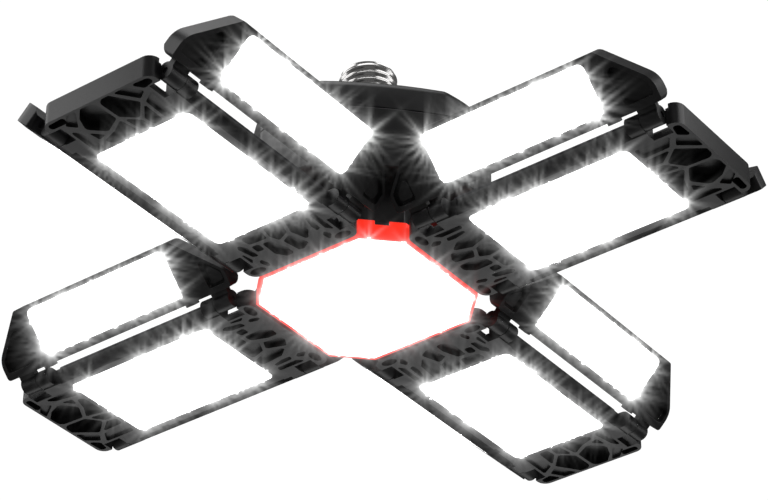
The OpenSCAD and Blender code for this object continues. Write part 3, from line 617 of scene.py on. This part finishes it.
@dataclass
class Workshop:
    """Makes the pieces that stand for the frame's nodes.

    Attributes:
        paint: Gives each piece its material.
        weld: Distance under which two vertices are one.
        flat: Angle under which two faces are one flat face.
        crease: Angle over which an edge is rounded.
    """

    paint: Paintshop
    weld: float = 0.002 * MM
    flat: float = math.radians(0.4)
    crease: float = math.radians(34)

    def add(self, name: str, mesh: bmesh.types.BMesh, body: str, slot: Slot, *nodes: str) -> bpy.types.Object:
        """Makes an object of a bmesh, smooth but for its creases, and lets it stand for nodes.

        Args:
            name: The piece's name.
            mesh: Its shape, which is freed.
            body: The body that it rides on.
            slot: Its material slot.
            *nodes: The nodes that it replaces.

        Returns:
            The new piece.
        """
        for face in mesh.faces:
            face.smooth = True
        for edge in mesh.edges:
            edge.smooth = not (len(edge.link_faces) == 2 and edge.calc_face_angle(0.0) > self.crease)
        data = bpy.data.meshes.new(name)
        mesh.to_mesh(data)
        mesh.free()
        piece = placed(name, data)
        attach(piece, body)
        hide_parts(*nodes)
        self.paint.coat(piece, slot)
        log.info("%s: %d faces on %s", name, len(data.polygons), body)
        return piece

    def copy(self, node: str) -> bmesh.types.BMesh:
        """Copies a node's mesh, joins its loose triangles and clears its flat faces of edges.

        Args:
            node: The node to copy.

        Returns:
            The cleaned copy.
        """
        mesh = bmesh.new()
        mesh.from_mesh(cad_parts[node].data)
        bmesh.ops.remove_doubles(mesh, verts=mesh.verts, dist=self.weld)
        bmesh.ops.dissolve_degenerate(mesh, dist=self.weld, edges=mesh.edges)
        bmesh.ops.dissolve_limit(
            mesh, angle_limit=self.flat, use_dissolve_boundaries=False, verts=mesh.verts, edges=mesh.edges
        )
        return mesh

    def moulding(
        self, node: str, body: str, slot: Slot, radius: float, segments: int = 2
    ) -> bpy.types.Object:
        """Makes a copy of a node with rounded edges, in place of the node.

        Args:
            node: The node to copy.
            body: The body that it rides on.
            slot: Its material slot.
            radius: Width of the rounding.
            segments: Steps of the rounding.

        Returns:
            The new piece.
        """
        piece = self.add(f"{node}_moulding", self.copy(node), body, slot, node)
        edge = piece.modifiers.new("rounded_edges", "BEVEL")
        edge.limit_method = "ANGLE"
        edge.angle_limit = self.crease
        edge.width = radius
        edge.segments = segments
        edge.use_clamp_overlap = True
        edge.harden_normals = True
        return piece

    def diffuser(
        self, node: str, body: str, panel: Panel, along: Vector, across: Vector, radius: float = LENS_EDGE
    ) -> None:
        """Makes a copy of a lens with rounded edges and a map of its panel in millimetres.

        Args:
            node: The lens's node.
            body: The body that it rides on.
            panel: The panel that it fills.
            along: Direction of the panel's length.
            across: Direction of the panel's width.
            radius: Width of the rounding.
        """
        piece = self.moulding(node, body, Slot.LENS, radius)
        self.paint.coat(piece, Slot.LENS, panel)
        low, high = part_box(node)
        middle = (low + high) / 2
        places = piece.data.uv_layers.new(name="panel").data
        for loop in piece.data.loops:
            reach = (piece.data.vertices[loop.vertex_index].co - middle) / MM
            places[loop.index].uv = (reach.dot(along), reach.dot(across))

    def keep(self, node: str, slot: Slot) -> None:
        """Keeps a node as it is and gives it its material.

        Args:
            node: The node to keep.
            slot: Its material slot.
        """
        self.paint.coat(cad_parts[node], slot)
        log.info("%s: kept", node)


def wire(mesh: bmesh.types.BMesh, profile: list[Span]) -> list[bmesh.types.BMVert | bmesh.types.BMEdge]:
    """Draws a profile where y is 0.

    Args:
        mesh: The mesh that gets it.
        profile: Radius and height of each point.

    Returns:
        The profile's vertices and edges.
    """
    points = [mesh.verts.new((radius, 0.0, height)) for radius, height in profile]
    return points + [mesh.edges.new(pair) for pair in zip(points, points[1:])]


def turned(profile: list[Span], steps: int) -> bmesh.types.BMesh:
    """Turns a profile round the z axis.

    Args:
        profile: Radius and height of each point, from the lower end of the axis to the upper one.
        steps: Steps of the full turn.

    Returns:
        The turned shape, with its faces outward.
    """
    mesh = bmesh.new()
    geom = wire(mesh, profile)
    bmesh.ops.spin(
        mesh, geom=geom, cent=(0, 0, 0), axis=(0, 0, 1), angle=math.tau, steps=steps, use_merge=True
    )
    bmesh.ops.remove_doubles(mesh, verts=mesh.verts, dist=0.001 * MM)
    bmesh.ops.recalc_face_normals(mesh, faces=mesh.faces)
    return mesh


# ---- The lamp's sub-assemblies ----


@dataclass
class ScrewBase:
    """Rolled screw shell, glass insulator and soldered contact.

    Attributes:
        pitch: Pitch of the thread.
        depth: Depth of the thread.
        wall: Thickness of the shell.
        curl: How far the shell's top rim draws in.
        run_out: Height over which the thread fades at each end.
        facets: Steps of one turn.
        wave: Steps of the thread's wave.
        sunk: How far the thread reaches down into the collar.
        rim_height: Height of the curled rim over the thread.
        slack: How far the crests stay inside the node's box.
        CURL: The rim's steps, each with its share of the curl and its height.
        LIP: How far the rim's inner edge turns down.
    """

    CURL: ClassVar[tuple[Span, ...]] = ((0.35, 0.5 * MM), (0.65, 0.25 * MM))
    LIP: ClassVar[float] = 0.3 * MM

    pitch: float = 3.63 * MM
    depth: float = 1.0 * MM
    wall: float = 0.4 * MM
    curl: float = 1.2 * MM
    run_out: float = 2.4 * MM
    facets: int = 72
    wave: int = 10
    sunk: float = 0.3 * MM
    rim_height: float = 0.8 * MM
    slack: float = 0.02 * MM

    def fade(self, height: float, bottom: float, top: float) -> float:
        """Fades the thread out near its ends.

        Args:
            height: The height to look at.
            bottom: Height of the lower end.
            top: Height of the upper end.

        Returns:
            The share of the thread's depth that is left.
        """
        share = max(0.0, min(1.0, (top - height) / self.run_out, (height - bottom) / self.run_out))
        return share * share * (3 - 2 * share)

    def thread(self, bottom: float, top: float, crest: float) -> bmesh.types.BMesh:
        """Sweeps one turn's wave up the shell in a helix and cuts it level at both ends.

        Args:
            bottom: Height of the lower end.
            top: Height of the upper end.
            crest: Radius over the thread.

        Returns:
            The open threaded tube.
        """
        turns = math.ceil((top - bottom) / self.pitch) + 1
        mesh = bmesh.new()
        geom = wire(mesh, [
            (crest - self.depth * (1 + math.cos(math.tau * i / self.wave)) / 2,
             bottom - self.pitch + self.pitch * i / self.wave)
            for i in range(self.wave + 1)
        ])
        bmesh.ops.spin(
            mesh, geom=geom, cent=(0, 0, 0), axis=(0, 0, 1), dvec=(0, 0, self.pitch / self.facets),
            angle=math.tau * turns, steps=self.facets * turns,
        )
        bmesh.ops.remove_doubles(mesh, verts=mesh.verts, dist=0.01 * MM)
        root = crest - self.depth
        for vertex in mesh.verts:
            radius = math.hypot(vertex.co.x, vertex.co.y)
            wanted = root + (radius - root) * self.fade(vertex.co.z, bottom, top)
            vertex.co.x *= wanted / radius
            vertex.co.y *= wanted / radius
        for height, outer in ((bottom, False), (top, True)):
            bmesh.ops.bisect_plane(
                mesh, geom=[*mesh.verts, *mesh.edges, *mesh.faces], dist=0.001 * MM, plane_co=(0, 0, height),
                plane_no=(0, 0, 1), clear_outer=outer, clear_inner=not outer,
            )
        return mesh

    def rim(self, mesh: bmesh.types.BMesh, height: float, shrink: float, lift: float) -> None:
        """Extrudes the open edge at a height inwards.

        Args:
            mesh: The tube.
            height: Height of the open edge.
            shrink: How far the new edge lies inside the old one.
            lift: How far it lies above the old one.
        """
        edges = [
            edge for edge in mesh.edges
            if edge.is_boundary and all(abs(vertex.co.z - height) < 0.02 * MM for vertex in edge.verts)
        ]
        made = bmesh.ops.extrude_edge_only(mesh, edges=edges)
        verts = [v for v in made["geom"] if isinstance(v, bmesh.types.BMVert)]
        radius = sum(math.hypot(v.co.x, v.co.y) for v in verts) / len(verts)
        factor = 1 - shrink / radius
        bmesh.ops.scale(mesh, vec=(factor, factor, 1), verts=verts)
        bmesh.ops.translate(mesh, vec=(0, 0, lift), verts=verts)

    def shell(self, shop: Workshop) -> None:
        """Makes the rolled shell in place of its node.

        Args:
            shop: Makes the piece.
        """
        low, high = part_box("screw_shell")
        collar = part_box("neck_collar")[1].z
        bottom, top = collar - self.sunk, high.z - self.rim_height
        mesh = self.thread(bottom, top, high.x - self.slack)
        for share, lift in self.CURL:
            self.rim(mesh, top, self.curl * share, lift)
            top += lift
        self.rim(mesh, top, self.wall * 1.2, -self.LIP)
        self.rim(mesh, bottom, 0.0, low.z - bottom)
        bmesh.ops.recalc_face_normals(mesh, faces=mesh.faces)
        bmesh.ops.solidify(mesh, geom=mesh.faces, thickness=self.wall)
        shop.add("rolled_screw_shell", mesh, "hub", Slot.SCREW_SHELL, "screw_shell")

    def insulator(self, shop: Workshop) -> None:
        """Makes the dished glass insulator in place of its node.

        Args:
            shop: Makes the piece.
        """
        low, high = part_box("shell_insulator")
        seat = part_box("centre_contact")[1].x + 0.3 * MM
        reach = high.x
        rise = high.z - low.z
        outside = [(reach, low.z), (reach, low.z + rise * 0.52), (reach - 0.5 * MM, low.z + rise * 0.6)]
        dish = [(reach * 0.8, low.z + rise * 0.72), (seat + 0.9 * MM, high.z - 0.3 * MM)]
        lip = [(seat + 0.3 * MM, high.z), (seat, high.z - 0.1 * MM)]
        profile = [(0.0, low.z), *outside, *dish, *lip, (0.0, high.z - 0.1 * MM)]
        shop.add("glass_insulator", turned(profile, 64), "hub", Slot.INSULATOR, "shell_insulator")

    def contact(self, shop: Workshop) -> None:
        """Makes the contact with its solder dome in place of its node.

        Args:
            shop: Makes the piece.
        """
        low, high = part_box("centre_contact")
        rise = high.z - low.z
        dome = high.x * 0.5
        plate = [(high.x, low.z), (high.x, low.z + rise * 0.25), (high.x - 0.3 * MM, low.z + rise * 0.4)]
        solder = [
            (dome * math.cos(angle), low.z + rise * (0.45 + 0.55 * math.sin(angle)))
            for angle in (math.radians(degrees) for degrees in range(0, 91, 15))
        ]
        profile = [(0.0, low.z), *plate, *solder]
        shop.add("soldered_contact", turned(profile, 48), "hub", Slot.CONTACT, "centre_contact")

    def build(self, shop: Workshop) -> None:
        """Makes the three pieces of the screw base.

        Args:
            shop: Makes the pieces.
        """
        self.shell(shop)
        self.insulator(shop)
        self.contact(shop)


@dataclass
class Housing:
    """Driver housing of two shells on a collar, its screws, and the driver inside it.

    Attributes:
        edge: Rounding of the shells' edges.
        screw_edge: Rounding of the screws.
        board_edge: Rounding of the driver board.
        part_edge: Rounding of the driver's parts.
    """

    edge: float = 0.7 * MM
    screw_edge: float = 0.2 * MM
    board_edge: float = 0.15 * MM
    part_edge: float = 0.5 * MM

    def build(self, shop: Workshop) -> None:
        """Makes the shells and dresses what they hold.

        Args:
            shop: Makes the pieces.
        """
        for node in ("housing_cap", "housing_base", "neck_collar"):
            shop.moulding(node, "hub", Slot.BLACK_PLASTIC, self.edge, 3)
        shop.moulding("housing_screws", "hub", Slot.STEEL, self.screw_edge)
        shop.moulding("driver_board", "hub", Slot.CIRCUIT_BOARD, self.board_edge)
        shop.moulding("driver_components", "hub", Slot.COMPONENTS, self.part_edge, 3)


@dataclass
class CentreLight:
    """Centre light with its red bezel, under the hub's core.

    Attributes:
        bezel_edge: Rounding of the bezel's edges.
        core_edge: Rounding of the core's edges.
        light_edge: Rounding of the lens and the heat sink.
    """

    bezel_edge: float = 0.32 * MM
    core_edge: float = 0.4 * MM
    light_edge: float = 0.2 * MM

    def build(self, shop: Workshop) -> None:
        """Makes the bezel and the core and dresses the light module.

        Args:
            shop: Makes the pieces.
        """
        shop.moulding("red_bezel", "hub", Slot.RED_PLASTIC, self.bezel_edge, 3)
        shop.moulding("hub_core", "hub", Slot.BLACK_PLASTIC, self.core_edge)
        shop.diffuser("centre_lens", "hub", Panel.CENTRE, Vector((1, 0, 0)), Vector((0, 1, 0)), self.light_edge)
        shop.moulding("centre_heat_sink", "hub", Slot.SINK_PLAIN, self.light_edge)
        shop.keep("centre_led_board", Slot.LED_BOARD)


def arm_direction(number: int) -> Vector:
    """Gives the direction in which an arm points.

    Args:
        number: The arm's number, from 1 to 4.

    Returns:
        The unit vector from the axis along the arm.
    """
    quarter = math.tau / 4 * (number - 1)
    return Vector((round(math.cos(quarter)), round(math.sin(quarter)), 0))


@dataclass
class Wing:
    """A tilting wing: its moulded frame, lens and light board.

    Attributes:
        arm: Number of the arm that carries it.
        side: Side of the arm.
        edge: Rounding of the frame's edges.
        tilt: Its tilt above flat at rest.
    """

    arm: int
    side: Side
    edge: float = 0.35 * MM
    tilt: float = math.radians(45)

    def build(self, shop: Workshop) -> None:
        """Makes the frame and the lens and dresses the board.

        Args:
            shop: Makes the pieces.
        """
        body = f"wing_{self.arm}_{self.side.value}"
        along = arm_direction(self.arm)
        outward = Vector((-along.y, along.x, 0)) * (1 if self.side is Side.LEFT else -1)
        across = outward * math.cos(self.tilt) + Vector((0, 0, math.sin(self.tilt)))
        shop.moulding(f"{body}_frame", body, Slot.BLACK_PLASTIC, self.edge)
        shop.diffuser(f"{body}_lens", body, Panel.WING, along, across)
        shop.keep(f"{body}_led_board", Slot.LED_BOARD)


@dataclass
class Arm:
    """A folding arm: its moulded frame, heat sink, lens, board and pins.

    Attributes:
        number: The arm's number.
        edge: Rounding of the frame's edges.
        sink_edge: Rounding of the heat sink's fins.
        pin_edge: Rounding of the pins' ends.
    """

    number: int
    edge: float = 0.35 * MM
    sink_edge: float = 0.18 * MM
    pin_edge: float = 0.3 * MM

    def build(self, shop: Workshop) -> None:
        """Makes the frame and what it carries, then its two wings.

        Args:
            shop: Makes the pieces.
        """
        body = f"arm_{self.number}"
        shop.moulding(f"{body}_frame", body, Slot.BLACK_PLASTIC, self.edge)
        shop.moulding(f"{body}_heat_sink", body, Slot.HEAT_SINK, self.sink_edge)
        along = arm_direction(self.number)
        shop.diffuser(f"{body}_lens", body, Panel.ARM, along, Vector((-along.y, along.x, 0)))
        shop.moulding(f"{body}_hinge_pins", body, Slot.STEEL, self.pin_edge)
        shop.keep(f"{body}_led_board", Slot.LED_BOARD)
        for side in Side:
            Wing(self.number, side).build(shop)


# ---- The studio ----


@dataclass(frozen=True)
class Softbox:
    """An area light that looks at the lamp.

    Attributes:
        name: The light's name.
        azimuth: Degrees round the lamp, 0 looking along +y.
        elevation: Degrees above the horizon.
        distance: Metres from the lamp.
        width: Width of the light.
        height: Height of the light.
        brightness: Radiance of its face.
    """

    name: str
    azimuth: float
    elevation: float
    distance: float
    width: float
    height: float
    brightness: float


SOFTBOXES = (  # name, azimuth, elevation, distance, width, height, brightness
    Softbox("left_softbox", -56.0, 35.0, 1.6, 1.7, 1.0, 1.4),
    Softbox("right_softbox", 104.0, 32.0, 1.6, 1.6, 0.9, 1.7),
    Softbox("under_softbox", -143.0, -35.0, 1.6, 1.2, 1.0, 0.78),
    Softbox("left_horizon_softbox", -60.0, -8.0, 1.6, 0.8, 0.6, 1.2),
    Softbox("right_horizon_softbox", 128.0, -8.0, 1.6, 0.8, 0.6, 1.2),
    Softbox("top_softbox", 20.0, 78.0, 1.8, 1.2, 1.2, 1.6),
)


def away(azimuth: float, elevation: float) -> Vector:
    """Gives a direction from the lamp.

    Args:
        azimuth: Degrees round the lamp.
        elevation: Degrees above the horizon.

    Returns:
        The unit vector.
    """
    turn, rise = math.radians(azimuth), math.radians(elevation)
    return Vector((math.sin(turn) * math.cos(rise), -math.cos(turn) * math.cos(rise), math.sin(rise)))


@dataclass(frozen=True)
class Glare:
    """The camera's own glare: haze round the lit panels and fine rays from their glints.

    Attributes:
        haze_over: Brightness from which light spreads as haze.
        haze: Strength of the haze.
        haze_reach: Reach of the haze, from 0 to 1.
        ray_over: Brightness from which light spreads as rays.
        ray: Strength of the rays.
        ray_fade: How slowly a ray fades.
        STARS: The stars of rays, each with its number of rays and their turn in degrees.
    """

    STARS: ClassVar[tuple[tuple[int, float], ...]] = ((7, 11.0), (8, 38.0))

    haze_over: float = 1.2
    haze: float = 0.33
    haze_reach: float = 0.04
    ray_over: float = 5.0
    ray: float = 0.22
    ray_fade: float = 0.8

    def step(self, tree: bpy.types.NodeTree, image: Socket, kind: str, **sockets: float) -> Socket:
        """Adds a glare node.

        Args:
            tree: The compositor's nodes.
            image: The image so far.
            kind: The glare's kind.
            **sockets: Its values by name, with _ for a space.

        Returns:
            The image with the glare.
        """
        node = tree.nodes.new("CompositorNodeGlare")
        node.glare_type = kind
        tree.links.new(image, node.inputs["Image"])
        for name, value in sockets.items():
            node.inputs[name.replace("_", " ")].default_value = value
        return node.outputs["Image"]

    def build(self) -> None:
        """Builds the compositor's nodes."""
        scene = bpy.context.scene
        scene.use_nodes = True
        tree = scene.node_tree
        tree.nodes.clear()
        image = tree.nodes.new("CompositorNodeRLayers").outputs["Image"]
        for rays, angle in self.STARS:
            image = self.step(
                tree, image, "STREAKS", Threshold=self.ray_over, Strength=self.ray, Streaks=rays,
                Streaks_Angle=math.radians(angle), Iterations=3, Fade=self.ray_fade, Color_Modulation=0.0,
            )
        image = self.step(
            tree, image, "BLOOM", Threshold=self.haze_over, Strength=self.haze, Size=self.haze_reach,
        )
        tree.links.new(image, tree.nodes.new("CompositorNodeComposite").inputs["Image"])


@dataclass
class Studio:
    """Camera, lights, pale surroundings and floor.

    Attributes:
        azimuth: Camera's degrees round the lamp.
        elevation: Camera's degrees above the horizon: it looks up from below.
        roll: Camera's turn about its own axis, in degrees.
        distance: Camera's distance from the lamp's middle.
        across: Camera's shift to its right.
        upward: Camera's shift along its own up axis.
        lens: Focal length in millimetres on a sensor 36 mm wide.
        middle: Height of the lamp's middle.
        floor_drop: Depth of the floor under the lamp.
        floor_reach: Half the floor's width.
        light: How strongly the surroundings light the lamp.
        shown: How bright the surroundings look to the camera.
        CLIP: Nearest and farthest distance that the camera sees.
    """

    CLIP: ClassVar[Span] = (0.05, 50.0)

    azimuth: float = 36.944
    elevation: float = -34.646
    roll: float = -0.11
    distance: float = 1.2598
    across: float = 7.159 * MM
    upward: float = -11.733 * MM
    lens: float = 138.34
    middle: float = 40 * MM
    floor_drop: float = 2.6
    floor_reach: float = 9.0
    light: float = 0.1
    shown: float = 1.05

    def camera(self) -> None:
        """Makes the camera at the photograph's angle."""
        data = bpy.data.cameras.new("camera")
        data.lens = self.lens
        data.sensor_width = 36.0
        data.clip_start, data.clip_end = self.CLIP
        camera = placed("camera", data)
        back = away(self.azimuth, self.elevation)
        level = (-back).to_track_quat("-Z", "Y").to_matrix()
        turn = level @ Matrix.Rotation(math.radians(-self.roll), 3, "Z")
        camera.matrix_world = turn.to_4x4()
        right, upward = turn.col[0], turn.col[1]
        camera.location = (
            back * self.distance + right * self.across + upward * self.upward + Vector((0, 0, self.middle))
        )
        bpy.context.scene.camera = camera

    def hang(self, box: Softbox) -> None:
        """Adds a softbox.

        Args:
            box: Its place, size and brightness.
        """
        data = bpy.data.lights.new(box.name, "AREA")
        data.shape = "RECTANGLE"
        data.size, data.size_y = box.width, box.height
        data.energy = math.pi * box.width * box.height * box.brightness
        lamp = placed(box.name, data)
        towards = away(box.azimuth, box.elevation)
        lamp.matrix_world = (-towards).to_track_quat("-Z", "Y").to_matrix().to_4x4()
        lamp.location = towards * box.distance + Vector((0, 0, self.middle))
        lamp.visible_camera = False

    def surroundings(self) -> None:
        """Makes the pale surroundings, brighter to the camera than to the lamp."""
        world = bpy.data.worlds.new("pale_surroundings")
        bpy.context.scene.world = world
        world.use_nodes = True
        nodes, links = world.node_tree.nodes, world.node_tree.links
        ground = nodes["Background"]
        ground.inputs["Color"].default_value = (1, 1, 1, 1)
        path = nodes.new("ShaderNodeLightPath")
        strength = nodes.new("ShaderNodeMapRange")
        strength.inputs["To Min"].default_value = self.light
        strength.inputs["To Max"].default_value = self.shown
        links.new(path.outputs["Is Camera Ray"], strength.inputs["Value"])
        links.new(strength.outputs["Result"], ground.inputs["Strength"])

    def floor(self) -> None:
        """Makes the pale floor far below the lamp."""
        mesh = bmesh.new()
        bmesh.ops.create_grid(mesh, x_segments=8, y_segments=8, size=self.floor_reach)
        bmesh.ops.translate(mesh, vec=(0, 0, -self.floor_drop), verts=mesh.verts)
        data = bpy.data.meshes.new("floor")
        mesh.to_mesh(data)
        mesh.free()
        floor = placed("floor", data)
        graph = Graph("pale_floor")
        mottle = graph.noise(3.0, 4.0)
        floor.data.materials.append(graph.finish(
            Base_Color=graph.blend(mottle, (0.8, 0.8, 0.79, 1), (0.86, 0.86, 0.85, 1)),
            Roughness=graph.ramp(mottle, MOST_NOISE, 0.6, 0.75),
        ))

    def build(self) -> None:
        """Makes the studio."""
        bpy.context.scene.view_settings.view_transform = "Standard"
        self.camera()
        self.surroundings()
        for box in SOFTBOXES:
            self.hang(box)
        Glare().build()
        self.floor()


def main() -> None:
    """Builds the lamp and its studio."""
    logging.basicConfig(level=logging.INFO, format="%(message)s")
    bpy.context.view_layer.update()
    shop = Workshop(Paintshop())
    ScrewBase().build(shop)
    Housing().build(shop)
    CentreLight().build(shop)
    for number in range(1, 5):
        Arm(number).build(shop)
    Studio().build()


if __name__ == "__main__":
    main()
